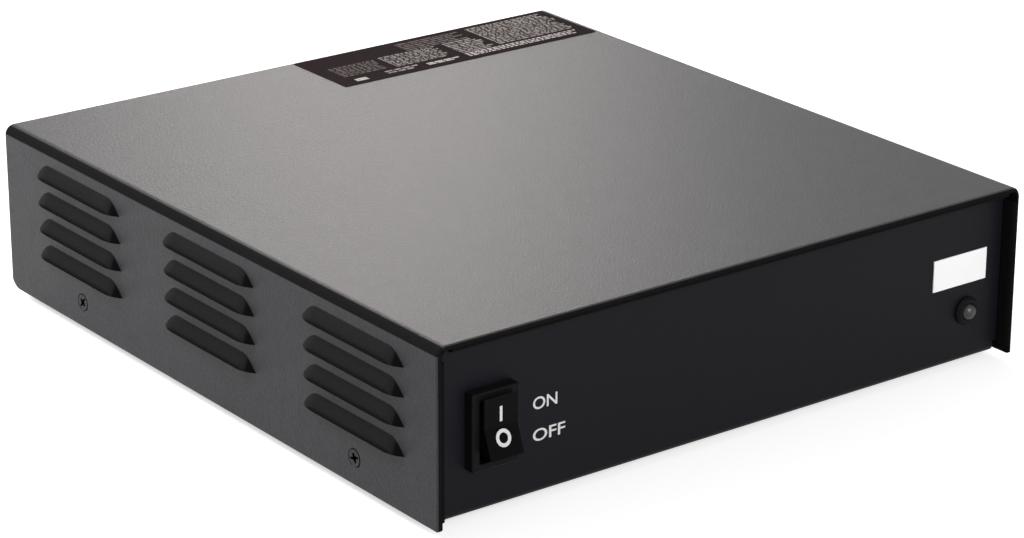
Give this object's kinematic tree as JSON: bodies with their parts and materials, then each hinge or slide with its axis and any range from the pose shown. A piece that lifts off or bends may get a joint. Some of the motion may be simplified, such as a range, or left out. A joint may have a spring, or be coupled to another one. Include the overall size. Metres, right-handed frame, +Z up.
{
  "type": "battery charger",
  "caption": "Flat desktop battery charger in a louvred folded cover, with a mains rocker switch and an indicator lamp in front and an inlet, a fan and output sockets behind.",
  "frame": {"origin": "under the middle of the charger's overall box, on the surface its feet stand on", "axes": "+Z up; the front panel faces -Y; the switch is near -X"},
  "size_m": [0.205, 0.2196, 0.0527],
  "materials": {
    "cover_paint": "fine textured powder coat",
    "chassis_paint": "satin black powder coat",
    "screw_black": "dark plated",
    "plain_steel": "zinc plated",
    "foot_rubber": "matt",
    "black_plastic": "moulded",
    "gloss_black_plastic": "polished",
    "clear_plastic": "clear resin",
    "white_foil": "printed foil",
    "black_foil": "printed foil",
    "board": "solder mask",
    "aluminium": "extruded",
    "brass": "turned",
    "ferrite": "sintered",
    "coil_tape": "tape",
    "enamel_wire": "enamelled winding",
    "capacitor_sleeve": "shrink sleeve",
    "film_box": "moulded",
    "fuse_glass": "clear",
    "component_black": "moulded",
    "sheet_film": "film",
    "red_plastic": "moulded",
    "lead_cover": "insulation"
  },
  "bodies": {
    "case": {"cover": "cover_paint", "chassis": "chassis_paint", "cover_screws": "screw_black", "cover_nuts": "plain_steel", "rubber_feet": "foot_rubber", "switch_housing": "black_plastic", "switch_terminals": "brass", "lamp_holder": "black_plastic", "indicator_lamp": "clear_plastic", "front_badge": "white_foil", "rating_label": "black_foil", "main_board": "board", "board_standoffs": "plain_steel", "board_screws": "plain_steel", "insulating_sheet": "sheet_film", "input_heat_sink": "aluminium", "output_heat_sink": "aluminium", "power_transistors": "component_black", "output_diodes": "component_black", "bridge_rectifier": "component_black", "transformer_core": "ferrite", "transformer_coil": "coil_tape", "standby_transformer": "coil_tape", "mains_capacitors": "capacitor_sleeve", "output_capacitors": "capacitor_sleeve", "film_capacitors": "film_box", "line_choke": "enamel_wire", "boost_choke": "enamel_wire", "output_choke": "enamel_wire", "fuse": "fuse_glass", "fuse_clips": "brass", "control_board": "board", "control_chips": "component_black", "fan_frame": "black_plastic", "fan_guard": "plain_steel", "fan_screws": "screw_black", "power_inlet": "black_plastic", "inlet_pins": "brass", "inlet_screws": "screw_black", "negative_socket": "black_plastic", "positive_socket": "red_plastic", "socket_sleeves": "brass", "socket_nuts": "brass", "output_posts": "brass", "inlet_leads": "lead_cover", "switch_leads": "lead_cover", "output_leads": "lead_cover", "fan_leads": "lead_cover", "lamp_leads": "lead_cover"},
    "rocker": {"switch_rocker": "gloss_black_plastic"},
    "fan": {"fan_rotor": "black_plastic"}
  },
  "joints": [
    {"name": "switch_tilt", "type": "hinge", "parent": "case", "child": "rocker", "pos_m": [-0.0812, -0.09912, 0.026], "axis": [1, 0, 0], "range_deg": [0, 20]},
    {"name": "fan_spin", "type": "hinge", "parent": "case", "child": "fan", "pos_m": [0.004, 0.0918, 0.0275], "axis": [0, 1, 0], "continuous": true}
  ]
}
